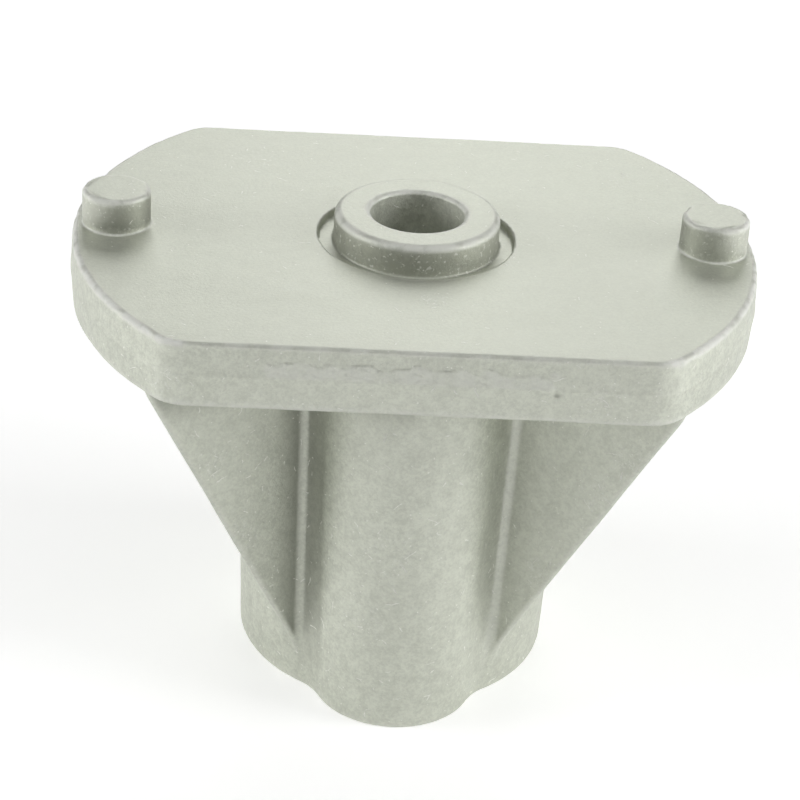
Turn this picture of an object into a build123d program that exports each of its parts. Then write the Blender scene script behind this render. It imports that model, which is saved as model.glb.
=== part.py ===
"""Blade hub of a rotary lawn mower: an aluminium die casting that carries the blade on the crankshaft.

It stands on the end of its hub, with the blade seat on top. Millimetres, +Z up, the origin at the centre of the
hub's lower end, and the two drive pins on the X axis.
"""
from build123d import *
from math import cos, radians, sin, sqrt, tan
import os

# Flange: a round plate with two flats, whose upper face is the blade seat
seat_height = 50.0
flange_diameter = 74.8
flange_across_flats = 55.0
flange_thickness = 7.3
flange_corner_radius = 1.2
rim_draft = 3.0
rim_edge_radius = 0.5

# Drive pins, which enter the blade's two side holes
pin_spacing = 65.0
pin_diameter = 7.4
pin_height = 4.0
pin_top_chamfer = 0.4

# Pilot collar, which centres the blade, in a shallow ring groove
collar_diameter = 18.0
collar_height = 2.85
collar_edge_radius = 0.8
groove_width = 1.7
groove_depth = 0.8

# Hole for the blade bolt, through the collar and the web under it
bolt_hole_diameter = 10.3
bolt_hole_chamfer = 0.3

# Hub, with a half-round lobe at the front and at the back, drafted to leave the die towards its lower end
hub_diameter = 35.4
lobe_radius = 9.25
lobe_offset = 12.9
lobe_root_radius = 1.0
hub_end_chamfer = 0.4
casting_draft = 1.6

# Crankshaft bore, with its keyway in the front lobe
bore_diameter = 22.25
bore_depth = 38.0
bore_chamfer = 0.8
keyway_width = 4.8
keyway_depth = 2.4

# Four ribs, each from beside the bore to the nearest corner of the flange. The face offset is how far a rib's
# outer face passes from the axis. The rim excess is how far its corner would pass the rim if it were sharp.
rib_angle = 32.0
rib_face_offset = 6.3
rib_thickness = 4.5
rib_draft = 0.6
rib_foot_height = 3.8
rib_rim_excess = 0.35
rib_edge_radius = 0.5
rib_root_radius = 0.7

# Heights, radii and angles that follow from the sizes above
flange_underside = seat_height - flange_thickness
parting_height = seat_height - flange_thickness / 2
collar_top = seat_height + collar_height
flange_radius = flange_diameter / 2
half_flats = flange_across_flats / 2
hub_radius = hub_diameter / 2
groove_radius = collar_diameter / 2 + groove_width
STANDING = (Align.CENTER, Align.CENTER, Align.MIN)


def climbs(edge, rise):
    """True for an edge that goes up or down by more than the given rise."""
    return edge.bounding_box().size.Z > rise


def flange():
    """The plate: a disc between two flats, drafted both ways from the parting line round its rim."""
    height = flange_thickness / 2
    taper = height * tan(radians(rim_draft))
    disc = Rot(0, 0, 90) * Cone(flange_radius, flange_radius - taper, height, align=STANDING)
    between_flats = Plane.YZ * Polyline(
        (-half_flats, 0),
        (half_flats, 0),
        (half_flats - taper, height),
        (taper - half_flats, height),
        close=True,
    )
    upper = disc & extrude(make_face(between_flats), flange_radius, both=True)
    upper = fillet(upper.edges().filter_by(lambda edge: climbs(edge, height / 2)), flange_corner_radius)
    upper = fillet(upper.edges().group_by(Axis.Z)[-1], rim_edge_radius)
    return Pos(0, 0, parting_height) * (upper + mirror(upper, Plane.XY))


def lobed_hub():
    """The hub and its two lobes, still solid, wider at the flange by their draft."""
    growth = flange_underside * tan(radians(casting_draft))
    barrel = Cone(hub_radius, hub_radius + growth, flange_underside, align=STANDING)
    lobe = Cone(lobe_radius, lobe_radius + growth, flange_underside, align=STANDING)
    lobes = [Pos(0, -lobe_offset) * lobe, Pos(0, lobe_offset) * lobe]
    hub = barrel + lobes
    hub = fillet(new_edges(barrel, *lobes, combined=hub), lobe_root_radius)
    return chamfer(hub.edges().group_by(Axis.Z)[0], hub_end_chamfer)


def rib_reach(radius, face_offset):
    """How far sideways the rib's outer face gets before it is the given radius away from the axis."""
    run = sqrt(radius**2 - face_offset**2)
    return run * cos(radians(rib_angle)) - face_offset * sin(radians(rib_angle))


def rib():
    """The front right rib: a drafted web cut off by the slope, whose edges are rounded, let into the flange."""
    top = flange_underside + rim_edge_radius
    growth = (top - rib_foot_height) * tan(radians(rib_draft))
    inner_offset = rib_face_offset - rib_thickness
    section = Plane.YZ * Polyline(
        (-rib_face_offset, rib_foot_height),
        (-inner_offset, rib_foot_height),
        (growth - inner_offset, top),
        (-growth - rib_face_offset, top),
        close=True,
    )
    foot_radius = hub_radius + rib_foot_height * tan(radians(casting_draft))
    slope = Plane.XZ * Polyline(
        (0, rib_foot_height),
        (rib_reach(foot_radius, rib_face_offset), rib_foot_height),
        (rib_reach(flange_radius + rib_rim_excess, rib_face_offset + growth), top),
        (0, top),
        close=True,
    )
    web = Rot(0, 0, -rib_angle) * extrude(make_face(section), flange_diameter)
    web &= extrude(make_face(slope), flange_diameter, both=True)
    outer_edges = web.faces().sort_by(Axis.X)[-1].edges()
    return fillet(outer_edges.filter_by(lambda edge: climbs(edge, flange_thickness)), rib_edge_radius)


def ribbed_hub():
    """The hub with its four ribs, and a small radius where each rib's sides run down the hub."""
    hub = lobed_hub()
    right_ribs = [rib(), mirror(rib(), Plane.XZ)]
    ribs = right_ribs + [mirror(web, Plane.YZ) for web in right_ribs]
    stem = hub + ribs
    roots = new_edges(hub, *ribs, combined=stem)
    long_roots = roots.filter_by(lambda edge: climbs(edge, rib_foot_height + flange_thickness))
    return fillet(long_roots, rib_root_radius)


def drive_pins():
    """The two pins, with a lead-in round their tops, let into the plate down to its parting line."""
    reach = seat_height + pin_height - parting_height
    pin = Cylinder(pin_diameter / 2, reach, align=STANDING)
    pin = chamfer(pin.edges().group_by(Axis.Z)[-1], pin_top_chamfer)
    return [Pos(side * pin_spacing / 2, 0, parting_height) * pin for side in (-1, 1)]


def pilot_collar():
    """The collar with its rounded top, let into the plate down to its parting line."""
    reach = collar_top - parting_height
    collar = Cylinder(collar_diameter / 2, reach, align=STANDING)
    collar = fillet(collar.edges().group_by(Axis.Z)[-1], collar_edge_radius)
    return Pos(0, 0, parting_height) * collar


def ring_groove(casting):
    """The casting with the groove sunk into its seat, where the collar will stand."""
    reach = groove_depth + collar_height
    pocket = Pos(0, 0, seat_height - groove_depth) * Cylinder(groove_radius, reach, align=STANDING)
    return casting - pocket


def with_bosses(casting):
    """The casting with its collar and pins standing on it."""
    return casting + [pilot_collar(), *drive_pins()]


def crankshaft_bore():
    """What the bore takes out: the shaft's cylinder with its chamfered mouth, and the keyway beside it."""
    bore_radius = bore_diameter / 2
    shaft = Cylinder(bore_radius, bore_depth, align=STANDING)
    mouth = Cone(bore_radius + bore_chamfer, bore_radius, bore_chamfer, align=STANDING)
    key_reach = bore_radius + keyway_depth
    keyway = Pos(0, -key_reach / 2) * Box(keyway_width, key_reach, bore_depth, align=STANDING)
    return [shaft, mouth, keyway]


def bolt_hole():
    """What the blade bolt's hole takes out, with the chamfer at its upper end."""
    radius = bolt_hole_diameter / 2
    length = collar_top - bore_depth
    hole = Pos(0, 0, bore_depth) * Cylinder(radius, length, align=STANDING)
    lead_in = Pos(0, 0, collar_top - bolt_hole_chamfer)
    lead_in *= Cone(radius, radius + bolt_hole_chamfer, bolt_hole_chamfer, align=STANDING)
    return [hole, lead_in]


casting = with_bosses(ring_groove(ribbed_hub() + flange()))
blade_hub = casting - crankshaft_bore() - bolt_hole()

os.makedirs("parts", exist_ok=True)
export_step(blade_hub, "parts/blade_hub.step")
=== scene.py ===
import math

import bpy
import numpy as np
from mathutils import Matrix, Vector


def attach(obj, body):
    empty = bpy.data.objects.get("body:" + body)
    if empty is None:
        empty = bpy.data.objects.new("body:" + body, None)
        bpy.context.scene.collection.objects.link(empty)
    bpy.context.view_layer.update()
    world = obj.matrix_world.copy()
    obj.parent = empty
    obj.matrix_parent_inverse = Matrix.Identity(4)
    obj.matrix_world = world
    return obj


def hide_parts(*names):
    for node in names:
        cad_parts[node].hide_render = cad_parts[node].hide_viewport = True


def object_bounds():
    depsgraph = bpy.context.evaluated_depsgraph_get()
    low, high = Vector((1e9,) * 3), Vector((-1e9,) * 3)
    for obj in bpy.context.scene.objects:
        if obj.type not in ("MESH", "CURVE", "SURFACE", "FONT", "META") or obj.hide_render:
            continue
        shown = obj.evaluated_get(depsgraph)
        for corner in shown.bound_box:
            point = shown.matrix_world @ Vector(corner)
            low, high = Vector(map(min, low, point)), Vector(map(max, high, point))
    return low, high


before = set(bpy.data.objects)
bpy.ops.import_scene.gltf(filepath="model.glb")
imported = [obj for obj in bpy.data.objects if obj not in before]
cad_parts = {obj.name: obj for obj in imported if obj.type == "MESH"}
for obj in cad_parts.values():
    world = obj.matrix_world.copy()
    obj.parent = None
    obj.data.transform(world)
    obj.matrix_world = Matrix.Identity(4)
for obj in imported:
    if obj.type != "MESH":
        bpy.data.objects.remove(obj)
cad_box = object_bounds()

import openvdb
from mathutils import Matrix, Vector

# The form of the casting. A mower's blade hub is die cast in aluminium as one piece: a ribbed tube for the
# crankshaft under a flat plate with two drive pins and a collar. Tumbling has softened all its edges, so it is
# made as one field of distances in millimetres, in which every edge and every inner corner has its own radius.
seat, underside, parting = 50.0, 42.7, 46.35
pin_offset = 32.5
die_draft, rim_draft, rib_draft = [math.tan(math.radians(angle)) for angle in (1.6, 3.0, 0.6)]


def edged(a, b, radius):
    """What lies inside both, with the outer edge between them rounded."""
    u = np.maximum(a + radius, 0)
    v = np.maximum(b + radius, 0)
    return np.minimum(np.maximum(a, b), -radius) + np.hypot(u, v)


def joined(a, b, radius):
    """What lies inside either, with a fillet in the corner where they meet."""
    u = np.maximum(radius - a, 0)
    v = np.maximum(radius - b, 0)
    return np.maximum(np.minimum(a, b), radius) - np.hypot(u, v)


def rising(value, start, width):
    """Nothing up to the start, and one from a width further on."""
    return np.clip((value - start) / width, 0, 1)


def falling(value, end, width):
    """One up to a width before the end, and nothing from the end on."""
    return np.clip((end - value) / width, 0, 1)


def plate(x, y, z):
    """The flange between its two flats. Its round sides are more worn along the top edge than the flats are."""
    rim_radius, half_flats, half_thickness = 37.3, 27.4, 3.65
    corner_radius, crisp_edge, more_by_wear = 1.2, 0.32, 0.28
    height = np.abs(z - parting)
    rim = np.hypot(x, y) - rim_radius + height * rim_draft
    flats = np.abs(y) - half_flats + height * rim_draft
    outline = edged(rim, flats, corner_radius)
    worn_side = rising(np.abs(x), 24.0, 2.5) * (z > parting)
    return edged(outline, height - half_thickness, crisp_edge + more_by_wear * worn_side), outline


def stem(x, y, z, outline):
    """The tube's outside, its front and back lobes, and the four ribs that lean out to the plate's corners."""
    tube_radius, lobe_radius, lobe_offset, lobe_root = 17.7, 9.25, 12.9, 1.0
    rib_turn, rib_middle, half_rib, rib_foot = math.radians(32.0), 4.05, 2.25, 3.8
    nose_offset, nose_lean, nose_edge, rib_root = 10.785, 0.43558, 0.8, 0.7
    growth = z * die_draft
    barrel = np.hypot(x, y) - tube_radius - growth
    lobe = np.hypot(x, np.abs(y) - lobe_offset) - lobe_radius - growth
    tube = joined(barrel, lobe, lobe_root)
    aside = np.abs(y) * math.cos(rib_turn) - np.abs(x) * math.sin(rib_turn)
    web = np.abs(aside - rib_middle) - half_rib - (z - rib_foot) * rib_draft
    nose = (np.abs(x) - nose_offset - (z - rib_foot) * nose_lean) / math.hypot(1, nose_lean)
    rib = edged(edged(web, nose, nose_edge), outline + 0.2, 0.3)
    rib = np.maximum(rib, z - underside - 0.5)
    body = edged(joined(tube, rib, rib_root), -z, 0.4)
    return np.maximum(body, z - parting)


def to_pin(x, y):
    """How far a place is from the axis of the nearer drive pin."""
    return np.hypot(np.abs(x) - pin_offset, y)


def casting(x, y, z):
    """Distance from the casting's surface, less than nothing inside it."""
    groove_radius, groove_depth = 10.7, 0.8
    collar_radius, collar_end = 9.0, 52.85
    pin_radius, pin_end = 3.7, 54.0
    bore_radius, bore_mouth, bore_end = 11.125, 11.925, 38.0
    half_key, key_reach = 2.4, 13.525
    bolt_radius, bolt_mouth, diagonal = 5.15, 47.4, 0.7071
    r = np.hypot(x, y)
    flange, outline = plate(x, y, z)
    body = joined(stem(x, y, z, outline), flange, np.clip(-0.6 * outline - 0.3, 0.02, 0.8))
    groove = edged(r - groove_radius, seat - groove_depth - z, 0.15)
    body = edged(body, -groove, 0.2)
    collar = np.maximum(edged(r - collar_radius, z - collar_end, 0.8), parting - z)
    body = joined(body, collar, 0.25)
    pin = np.maximum(edged(to_pin(x, y) - pin_radius, z - pin_end, 0.5), parting - z)
    body = joined(body, pin, 0.2)
    bore = np.maximum(np.minimum(r - bore_radius, (r + z - bore_mouth) * diagonal), z - bore_end)
    keyway = np.maximum(np.maximum(np.abs(x) - half_key, -key_reach - y), np.maximum(y, z - bore_end))
    body = edged(body, -np.minimum(bore, keyway), 0.15)
    bolt_hole = np.minimum(r - bolt_radius, (r - z + bolt_mouth) * diagonal)
    return edged(body, -bolt_hole, 0.1)


def ripple(x, y, z, wavelength, seed):
    """A smooth uneven field about nothing, the sum of waves that run in all directions."""
    rng = np.random.default_rng(seed)
    total = np.zeros_like(x)
    for _ in range(8):
        way = rng.normal(size=3)
        way *= rng.uniform(0.7, 1.4) * 2 * math.pi / wavelength / np.linalg.norm(way)
        total += np.sin(x * way[0] + y * way[1] + z * way[2] + rng.uniform(0, 6.28))
    return total / 2


def gate_scar(x, y, z):
    """Where the metal ran in, along the front flat: a band whose ends and edges are ragged."""
    middle, half_length, foot, top, front = -1.0, 14.8, 46.4, 48.2, -26.9
    ragged = 0.25 * ripple(x, y, z, 1.6, 21)
    ends = rising(half_length - np.abs(x - middle) + ragged, 0, 0.5)
    return ends * rising(top - z + ragged, 0, 0.3) * rising(z, foot, 0.2) * (y < front)


def past_rim(x, y):
    """How far a place lies outside a line just within the plate's rim."""
    return np.maximum(np.hypot(x, y) - 36.6, np.abs(y) - 26.7)


def skin_relief(x, y, z):
    """How far the real skin stands off the clean form: die ripple, the parting line, the gate's broken edge, nicks."""
    relief = 0.015 * ripple(x, y, z, 11.0, 3) + 0.005 * ripple(x, y, z, 3.2, 5)
    at_rim = rising(past_rim(x, y), 0, 0.4)
    relief += 0.04 * at_rim * np.exp(-((z - parting) / 0.2) ** 2)
    gate = gate_scar(x, y, z)
    relief += gate * (0.05 + 0.012 * ripple(x, y, z, 2.5, 7) + 0.012 * ripple(x, y, z, 0.7, 9))
    from_pit = np.hypot(np.hypot(x - 13.8, z - 46.1), y + 27.4)
    relief -= 0.3 * np.exp(-((from_pit / 0.32) ** 2))
    round_sides = rising(np.abs(x), 23.5, 2.0)
    top_edge = rising(z, 48.9, 0.6) * at_rim
    relief -= top_edge * (0.012 + 0.03 * round_sides) * np.clip(ripple(x, y, z, 2.0, 11), -0.5, 2)
    pin_wear = rising(z, 53.2, 0.5) * rising(to_pin(x, y), 2.8, 0.6)
    relief -= pin_wear * 0.07 * np.clip(ripple(x, y, z, 2.2, 13), 0, 2)
    return relief


def real_surface(x, y, z):
    return casting(x, y, z) - skin_relief(x, y, z)


def slope_of(field, p, reach):
    """Which way the field rises at points p, found from six places round each."""
    steps = np.eye(3) * reach
    return np.stack([field(*(p + s).T) - field(*(p - s).T) for s in steps], 1) / (2 * reach)


spacing = 0.3
low = np.array([-38.1, -28.2, -0.9])
counts = [255, 189, 187]
grid_x, grid_y, grid_z = [low[k] + spacing * np.arange(counts[k]) for k in range(3)]
distance = casting(grid_x[:, None, None], grid_y[None, :, None], grid_z[None, None, :])
near_surface, far = 0.9, 1.5
near = np.nonzero(np.abs(distance) < near_surface)
distance[near] -= skin_relief(grid_x[near[0]], grid_y[near[1]], grid_z[near[2]])
volume = openvdb.FloatGrid(background=far)
volume.copyFromArray(np.clip(distance, -far, far).astype(np.float32))
points, _, quads = volume.convertToPolygons(isovalue=0.0, adaptivity=0.0)
points = low + spacing * points.astype(float)
for _ in range(3):
    rise = slope_of(casting, points, 0.04)
    off = real_surface(*points.T) / np.maximum((rise ** 2).sum(1), 0.2)
    points -= np.clip(off, -0.1, 0.1)[:, None] * rise

hub_mesh = bpy.data.meshes.new("blade_hub_casting")
hub_mesh.from_pydata((points / 1000).tolist(), [], quads.tolist())
hub = bpy.data.objects.new("blade_hub_casting", hub_mesh)
bpy.context.scene.collection.objects.link(hub)
most_triangles = 195000
thinning = hub.modifiers.new("thinning", "DECIMATE")
thinning.ratio = most_triangles / (2 * len(quads))
thinning.use_collapse_triangulate = True
bpy.context.view_layer.update()
thinned = bpy.data.meshes.new_from_object(hub.evaluated_get(bpy.context.evaluated_depsgraph_get()))
hub.modifiers.remove(thinning)
hub.data = thinned
places = np.zeros(len(thinned.vertices) * 3)
thinned.vertices.foreach_get("co", places)
places = np.clip(places.reshape(-1, 3), np.array(cad_box[0]), np.array(cad_box[1]))
thinned.vertices.foreach_set("co", places.ravel())
thinned.polygons.foreach_set("use_smooth", np.ones(len(thinned.polygons), bool))

# The shading of each triangle's corners follows the form a little way inside the triangle, so that the wide
# triangles of a flat face stay flat right up to its edge.
corners = np.zeros(len(thinned.loops), int)
thinned.loops.foreach_get("vertex_index", corners)
corners = 1000 * places[corners].reshape(-1, 3, 3)
inward = corners.mean(1, keepdims=True) - corners
length = np.maximum(np.linalg.norm(inward, axis=2, keepdims=True), 1e-6)
shaded = (corners + inward * np.minimum(0.15, 0.4 / length)).reshape(-1, 3)
facing = slope_of(real_surface, shaded, 0.05)
facing /= np.maximum(np.linalg.norm(facing, axis=1, keepdims=True), 1e-6)
thinned.normals_split_custom_set(facing.tolist())

# How worn each place is, from how the form bends there: edges lose their skin. The same layer carries painted
# highlights at the pins' feet, along the rib roots on one pair of sides and in the bolt hole. Inner corners get
# painted shade, heavier on one pair of sides, and the collar's wall and the pins' walls get painted shade too.
marked = (corners + inward * np.minimum(0.25, 0.6 / length)).reshape(-1, 3)
at_x, at_y, at_z = marked.T
from_axis = np.hypot(at_x, at_y)
from_pin = to_pin(at_x, at_y)
bend_reach, open_reach = 0.45, 4.5
depth_there = casting(*marked.T)
bend = -6 * depth_there
for step in np.vstack([np.eye(3), -np.eye(3)]) * bend_reach:
    bend += casting(*(marked + step).T)
bend /= bend_reach ** 2
open_way = (casting(*(marked + open_reach * facing).T) - depth_there) / open_reach

arc_edge = rising(np.abs(at_x), 22.5, 1.5) * rising(at_z, 48.9, 0.4) * (from_axis > 35.3)
rim_foot = (at_z < 43.4) * (past_rim(at_x, at_y) > 0)
pin_top = (from_pin < 3.9) * (at_z > 53.2)
collar_top = (from_axis < 9.2) * (at_z > 51.8)
seat_edge = (at_z > 49.3) * (np.abs(at_y) > 26.5)
weight = np.maximum.reduce([arc_edge, 0.6 * rim_foot, 0.65 * pin_top, 0.75 * collar_top, 0.45 * seat_edge])
weight = np.maximum(weight, 0.25)
# A painted highlight: a thin bright ring where each pin stands on the seat.
pin_foot_highlight = np.exp(-(((from_pin - 3.8) / 0.1) ** 2)) * (np.abs(at_z - 50.1) < 0.2)
# A painted highlight along the rib roots on the pair of sides where x and y differ in sign.
rib_root_highlight = falling(bend, 0, 1.2) * (at_x * at_y < 0) * (at_z < 41.0) * (from_axis > 15.0)
in_bolt_hole = from_axis < 5.4
wear_and_highlight = rising(bend, 0.3, 1.2) * weight
wear_and_highlight = np.maximum(wear_and_highlight, 0.8 * pin_foot_highlight)
wear_and_highlight = np.maximum(wear_and_highlight, 0.38 * gate_scar(*marked.T))
wear_and_highlight = np.maximum(wear_and_highlight, 0.25 * rib_root_highlight)
# Painted light on the bolt hole's wall above 38.2 mm.
wear_and_highlight = np.maximum(wear_and_highlight, 0.2 * in_bolt_hole * (at_z > 38.2))

on_seat = (at_z > 49.0) * (at_z < 50.6)
# Painted shade in the inner corners: full on the pair of sides where x and y share a sign, a quarter on the other
# pair, little on the seat.
shade_side = np.where(at_x * at_y > 0, 1.0, 0.25)
corner_shade = np.clip(1.3 * np.clip(1.0 - open_way, 0, 1) ** 1.3, 0, 1) * (1 - 0.9 * on_seat) * shade_side

# Painted shade on the collar's wall and the pins' walls, at half strength on the pins and none in the bolt hole.
collar_wall = falling(from_axis, 9.35, 0.3) * falling(at_z, 52.3, 0.4) * (at_z > 49)
pin_wall = falling(from_pin, 3.9, 0.15) * falling(at_z, 53.6, 0.3) * (at_z > 50.2)
wall_shade = np.where(in_bolt_hole, 0.0, np.maximum(collar_wall, 0.5 * pin_wall))
for name, values in (("wear_and_highlight", wear_and_highlight), ("corner_shade", corner_shade), ("wall_shade", wall_shade)):
    layer = thinned.attributes.new(name, "FLOAT", "CORNER")
    layer.data.foreach_set("value", np.clip(values, 0, 1).astype(np.float32))
thinned.update()

# The skin of the casting. Tumbled aluminium is a pale, slightly green grey with a fine grain, brighter where an edge
# or a scuff has been rubbed to fresh metal. Painted shade darkens the inner corners and the collar's and pins' walls,
# and painted highlights brighten the pins' feet, some rib roots and the bolt hole.
skin = bpy.data.materials.new("tumbled_aluminium")
skin.use_nodes = True
skin_nodes, skin_links = skin.node_tree.nodes, skin.node_tree.links
metal = skin_nodes["Principled BSDF"]
place = skin_nodes.new("ShaderNodeTexCoord").outputs["Object"]
outward = skin_nodes.new("ShaderNodeNewGeometry").outputs["Normal"]


def wire(socket, value):
    """Links another node's output to a socket, or sets the socket's own number or colour."""
    if isinstance(value, bpy.types.NodeSocket):
        skin_links.new(value, socket)
    else:
        socket.default_value = value


def noise(per_metre, detail, rough):
    """Uneven grey, with so many patches to the metre."""
    made = skin_nodes.new("ShaderNodeTexNoise")
    wire(made.inputs["Vector"], place)
    wire(made.inputs["Scale"], per_metre)
    wire(made.inputs["Detail"], detail)
    wire(made.inputs["Roughness"], rough)
    return made.outputs["Fac"]


def between(value, start, end, low_out=0.0, high_out=1.0):
    """The value's way from start to end, smoothed and kept within the two results."""
    made = skin_nodes.new("ShaderNodeMapRange")
    made.interpolation_type = "SMOOTHSTEP"
    for socket, number in zip(made.inputs, (value, start, end, low_out, high_out)):
        wire(socket, number)
    return made.outputs["Result"]


def maths(operation, a, b=0.0):
    made = skin_nodes.new("ShaderNodeMath")
    made.operation = operation
    wire(made.inputs[0], a)
    wire(made.inputs[1], b)
    return made.outputs["Value"]


def times(a, b):
    return maths("MULTIPLY", a, b)


def plus(a, b):
    return maths("ADD", a, b)


def greater(a, b):
    return maths("MAXIMUM", a, b)


def mixed(amount, a, b):
    """Colour a, turning to colour b by the amount."""
    made = skin_nodes.new("ShaderNodeMix")
    made.data_type = "RGBA"
    wire(made.inputs[0], amount)
    wire(made.inputs[6], a)
    wire(made.inputs[7], b)
    return made.outputs[2]


def vectors(operation, a, b=(0, 0, 0), result="Vector"):
    made = skin_nodes.new("ShaderNodeVectorMath")
    made.operation = operation
    wire(made.inputs[0], a)
    wire(made.inputs[1], b)
    return made.outputs[result]


def dot(a, b):
    return vectors("DOT_PRODUCT", a, b, "Value")


def read(name):
    made = skin_nodes.new("ShaderNodeAttribute")
    made.attribute_name = name
    return made.outputs["Fac"]


def along_surface(vector):
    """The part of a vector that lies in the surface."""
    return vectors("SUBTRACT", vector, vectors("MULTIPLY", outward, dot(vector, outward)))


def strokes(per_metre, length, width, share):
    """Short rubs, each turned its own way, one in each of a share of the cells. Sizes are parts of a cell."""
    wobble = skin_nodes.new("ShaderNodeTexNoise")
    wire(wobble.inputs["Vector"], place)
    wire(wobble.inputs["Scale"], per_metre * 1.5)
    shaken = vectors("MULTIPLY", wobble.outputs["Color"], (0.4,) * 3)
    spot = vectors("ADD", vectors("MULTIPLY", place, (per_metre,) * 3), shaken)
    cell = skin_nodes.new("ShaderNodeTexVoronoi")
    wire(cell.inputs["Vector"], spot)
    wire(cell.inputs["Scale"], 1.0)
    offset = along_surface(vectors("SUBTRACT", spot, cell.outputs["Position"]))
    way = along_surface(vectors("SUBTRACT", cell.outputs["Color"], (0.5, 0.5, 0.5)))
    way = vectors("NORMALIZE", way)
    along = maths("ABSOLUTE", dot(offset, way))
    aside = vectors("LENGTH", vectors("CROSS_PRODUCT", offset, way), result="Value")
    mark = times(between(aside, 0.4 * width, width, 1.0, 0.0), between(along, 0.5 * length, length, 1.0, 0.0))
    chance = maths("FRACT", dot(cell.outputs["Color"], (17.3, 5.1, 9.7)))
    return times(mark, maths("LESS_THAN", chance, share))


# The skin's own grey: fine grain, small mottles and wide clouds. Grain and mottles are fainter on the smoother seat.
grain = noise(2600.0, 4.0, 0.7)
clouds = noise(210.0, 5.0, 0.6)
broad = noise(45.0, 3.0, 0.5)
mottles = noise(800.0, 2.0, 0.5)
upward = between(dot(outward, (0, 0, 1)), 0.5, 0.9)
speckle = times(maths("SUBTRACT", grain, 0.5), maths("SUBTRACT", 1.0, times(upward, 0.5)))
mottle = times(maths("SUBTRACT", mottles, 0.5), maths("SUBTRACT", 0.45, times(upward, 0.35)))
tone = plus(plus(times(speckle, 0.9), plus(times(clouds, 0.24), 0.38)), mottle)
dark_skin, pale_skin, broad_skin = (0.53, 0.55, 0.475, 1), (0.74, 0.765, 0.67, 1), (0.60, 0.61, 0.545, 1)
# The colours of the painted shade in corners, the painted shade on the walls, and fresh metal, which also paints the
# highlights.
corner_shade_colour, wall_shade_colour, fresh_metal_and_highlight = (0.22, 0.225, 0.19, 1), (0.55, 0.565, 0.485, 1), (0.93, 0.94, 0.88, 1)
colour = mixed(between(tone, 0.25, 0.75), dark_skin, pale_skin)
colour = mixed(between(broad, 0.3, 0.7, 0.0, 0.15), colour, broad_skin)
# Painted shade in the inner corners.
colour = mixed(times(read("corner_shade"), 0.7), colour, corner_shade_colour)
# Painted shade on the collar's and pins' walls, broken up by the grain.
colour = mixed(times(read("wall_shade"), between(grain, 0.35, 0.7, 1.0, 0.3)), colour, wall_shade_colour)

# Scuffs, where other castings knocked against it in the tumbler: a place and a reach in millimetres each. The
# smaller they are, the harder they were hit.
scuffs = (
    ((1.8, -15.4, 50.0), 2.2),
    ((-18.0, 19.0, 50.0), 5.0),
    ((24.0, 17.3, 50.0), 3.0),
    ((-1.5, -22.6, 23.0), 4.5),
    ((-4.5, -21.4, 14.0), 4.0),
    ((-17.5, -18.6, 22.0), 3.0),
    ((-21.0, -21.0, 32.0), 3.0),
    ((20.0, -20.0, 30.0), 3.0),
    ((15.2, -17.1, 18.1), 3.0),
    ((23.0, -22.2, 35.0), 3.0),
    ((18.5, -27.3, 45.5), 3.0),
    ((-25.5, -26.8, 44.8), 3.0),
)
smallest_reach = 2.2
scuffed = 0.0
for at, reach in scuffs:
    gap = vectors("DISTANCE", place, [c / 1000 for c in at], "Value")
    strength = smallest_reach / reach
    scuffed = greater(scuffed, between(gap, 0.0004 * reach, 0.001 * reach, strength, 0.0))
share = plus(times(scuffed, 0.5), maths("SUBTRACT", 0.12, times(upward, 0.08)))
long_rubs = strokes(260.0, 0.22, 0.022, share)
short_rubs = strokes(560.0, 0.22, 0.05, share)
dabs = strokes(1000.0, 0.12, 0.09, share)
rubs = greater(greater(long_rubs, short_rubs), dabs)
rubs = times(rubs, between(grain, 0.35, 0.6, 0.3, 1.0))
smears = times(scuffed, between(noise(1500.0, 4.0, 0.7), 0.52, 0.66, 0.0, 0.6))
# Rubbed edges, and the painted highlights at the pins' feet, the rib roots and the bolt hole.
edge_wear_and_highlights = times(read("wear_and_highlight"), between(noise(500.0, 4.0, 0.6), 0.38, 0.56, 0.45, 1.0))
specks = times(read("wall_shade"), between(noise(2200.0, 1.0, 0.5), 0.62, 0.72, 0.0, 0.7))
bright = greater(greater(edge_wear_and_highlights, specks), greater(rubs, smears))
wire(metal.inputs["Base Color"], mixed(bright, colour, fresh_metal_and_highlight))
wire(metal.inputs["Roughness"], plus(between(tone, 0.1, 0.8, 0.40, 0.60), times(bright, 0.2)))
wire(metal.inputs["Metallic"], between(bright, 0.0, 1.0, 0.7, 0.2))
bump = skin_nodes.new("ShaderNodeBump")
bump.inputs["Strength"].default_value = 0.4
bump.inputs["Distance"].default_value = 0.00012
wire(bump.inputs["Height"], plus(times(speckle, 1.4), times(clouds, 0.35)))
wire(metal.inputs["Normal"], bump.outputs["Normal"])
thinned.materials.clear()
thinned.materials.append(skin)
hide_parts("blade_hub")
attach(hub, "root")

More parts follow.
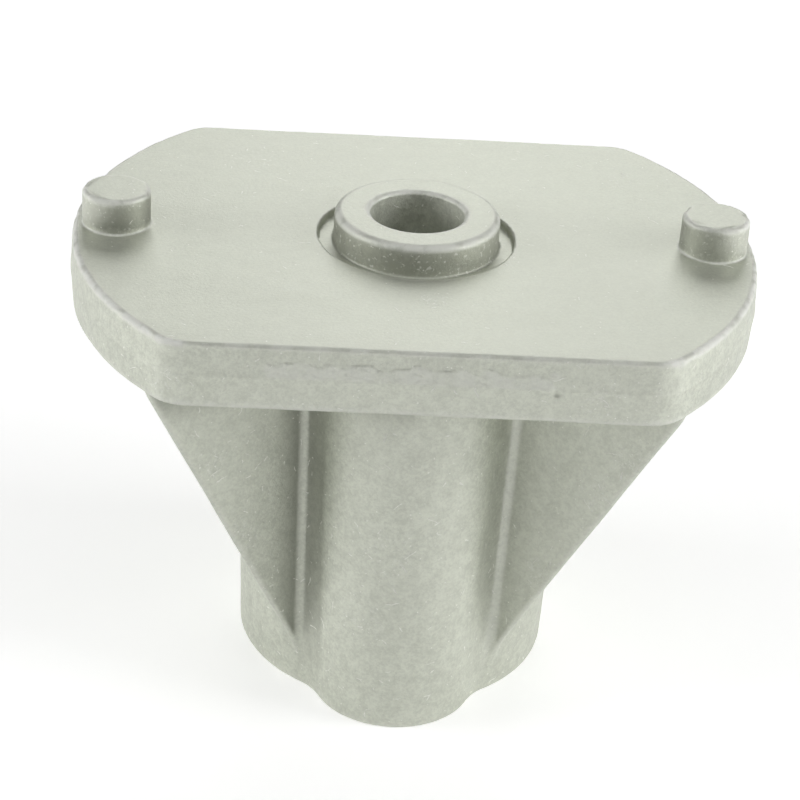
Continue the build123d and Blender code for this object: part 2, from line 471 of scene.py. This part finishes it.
# The table that it stands on: a wide sheet of white paper, which takes the soft shadow under the hub. It glows a
# little to the camera and in reflections, more so far away, so that it runs out to white at every angle.
half_sheet, sheet_level = 3, -0.00002
sheet_corners = [(half_sheet * x, half_sheet * y, sheet_level) for x, y in ((-1, -1), (1, -1), (1, 1), (-1, 1))]
paper_mesh = bpy.data.meshes.new("paper")
paper_mesh.from_pydata(sheet_corners, [], [(0, 1, 2, 3)])
paper = bpy.data.objects.new("paper", paper_mesh)
bpy.context.scene.collection.objects.link(paper)
paper_skin = bpy.data.materials.new("white_paper")
paper_skin.use_nodes = True
paper_nodes, paper_links = paper_skin.node_tree.nodes, paper_skin.node_tree.links
paper_shader = paper_nodes["Principled BSDF"]
rays = paper_nodes.new("ShaderNodeLightPath")
seen = rays.outputs["Is Camera Ray"]
for kind in ("Is Glossy Ray", "Is Transmission Ray"):
    either = paper_nodes.new("ShaderNodeMath")
    either.operation = "MAXIMUM"
    paper_links.new(seen, either.inputs[0])
    paper_links.new(rays.outputs[kind], either.inputs[1])
    seen = either.outputs["Value"]
paper_white = paper_nodes.new("ShaderNodeMapRange")
paper_white.inputs["To Min"].default_value = 0.72
paper_white.inputs["To Max"].default_value = 0.97
paper_links.new(seen, paper_white.inputs["Value"])
paper_links.new(paper_white.outputs["Result"], paper_shader.inputs["Base Color"])
from_hub = paper_nodes.new("ShaderNodeVectorMath")
from_hub.operation = "LENGTH"
paper_links.new(paper_nodes.new("ShaderNodeTexCoord").outputs["Object"], from_hub.inputs[0])
near_edge, far_edge, near_glow, far_glow, glow_unseen = 0.1, 0.7, 0.36, 1.01, 0.05
outward_glow = paper_nodes.new("ShaderNodeMapRange")
outward_glow.interpolation_type = "SMOOTHSTEP"
for socket, number in zip(outward_glow.inputs[1:5], (near_edge, far_edge, near_glow, far_glow)):
    socket.default_value = number
paper_links.new(from_hub.outputs["Value"], outward_glow.inputs["Value"])
paper_glow = paper_nodes.new("ShaderNodeMath")
paper_glow.operation = "MULTIPLY_ADD"
paper_glow.inputs[2].default_value = glow_unseen
paper_links.new(outward_glow.outputs["Result"], paper_glow.inputs[0])
paper_links.new(seen, paper_glow.inputs[1])
paper_links.new(paper_glow.outputs["Value"], paper_shader.inputs["Emission Strength"])
paper_shader.inputs["Emission Color"].default_value = (1, 1, 1, 1)
paper_shader.inputs["Roughness"].default_value = 0.9
paper_shader.inputs["Specular IOR Level"].default_value = 0.1
paper_mesh.materials.append(paper_skin)

# The light: soft lamps overhead, in front, behind and at both sides, in a dim room. The room itself is white to the
# camera, as the picture's background is.
room = bpy.data.worlds.new("room")
bpy.context.scene.world = room
room.use_nodes = True
room_nodes, room_links = room.node_tree.nodes, room.node_tree.links
room_light = room_nodes["Background"]
room_light.inputs["Color"].default_value = (1, 1, 1, 1)
room_side = room_nodes.new("ShaderNodeSeparateXYZ")
room_links.new(room_nodes.new("ShaderNodeTexCoord").outputs["Generated"], room_side.inputs["Vector"])
front_level, back_level = 0.05, 0.02
room_level = room_nodes.new("ShaderNodeMapRange")
for socket, number in zip(room_level.inputs[1:5], (-1.0, 1.0, front_level, back_level)):
    socket.default_value = number
room_links.new(room_side.outputs["Y"], room_level.inputs["Value"])
room_white = room_nodes.new("ShaderNodeMath")
room_white.operation = "ADD"
room_links.new(room_level.outputs["Result"], room_white.inputs[0])
room_links.new(room_nodes.new("ShaderNodeLightPath").outputs["Is Camera Ray"], room_white.inputs[1])
room_links.new(room_white.outputs["Value"], room_light.inputs["Strength"])
hub_middle = Vector((0, 0, 0.03))


def lamp(name, at, width, depth, watts):
    """A soft rectangular lamp, turned to face the middle of the hub."""
    made = bpy.data.lights.new(name, "AREA")
    made.shape = "RECTANGLE"
    made.size, made.size_y, made.energy = width, depth, watts
    stand = bpy.data.objects.new(name, made)
    stand.location = at
    stand.rotation_euler = (hub_middle - Vector(at)).to_track_quat("-Z", "Y").to_euler()
    bpy.context.scene.collection.objects.link(stand)


lamp("overhead", (0.05, 0.15, 0.9), 0.7, 0.7, 0.5)
lamp("front", (0.0, -0.4, 0.8), 1.2, 0.5, 1.7)
lamp("behind", (0.06, 0.8, 0.5), 0.5, 0.5, 2.2)
lamp("right", (0.78, -0.16, 0.3), 0.4, 0.4, 3.7)
lamp("left", (-0.79, -0.08, 0.3), 0.4, 0.4, 3.0)

# The camera, at the photograph's angle: from the front and above, tilted a little, with a long lens.
azimuth, elevation, roll = math.radians(-2.858), math.radians(29.172), math.radians(3.911)
stands_at = (-0.012633, -0.242372, 0.164818)
lens_in_pixels, picture_width, sensor_width = 2460.364, 800, 36.0
back = Vector((math.sin(azimuth) * math.cos(elevation), -math.cos(azimuth) * math.cos(elevation), math.sin(elevation)))
sideways = Vector((math.cos(azimuth), math.sin(azimuth), 0))
upright = back.cross(sideways)
right = math.cos(roll) * sideways + math.sin(roll) * upright
up = math.cos(roll) * upright - math.sin(roll) * sideways
view = bpy.data.cameras.new("view")
view.sensor_width = sensor_width
view.lens = lens_in_pixels * sensor_width / picture_width
camera = bpy.data.objects.new("view", view)
camera.matrix_world = Matrix.Translation(stands_at) @ Matrix((right, up, back)).transposed().to_4x4()
bpy.context.scene.collection.objects.link(camera)
bpy.context.scene.camera = camera
bpy.context.scene.view_settings.view_transform = "Standard"
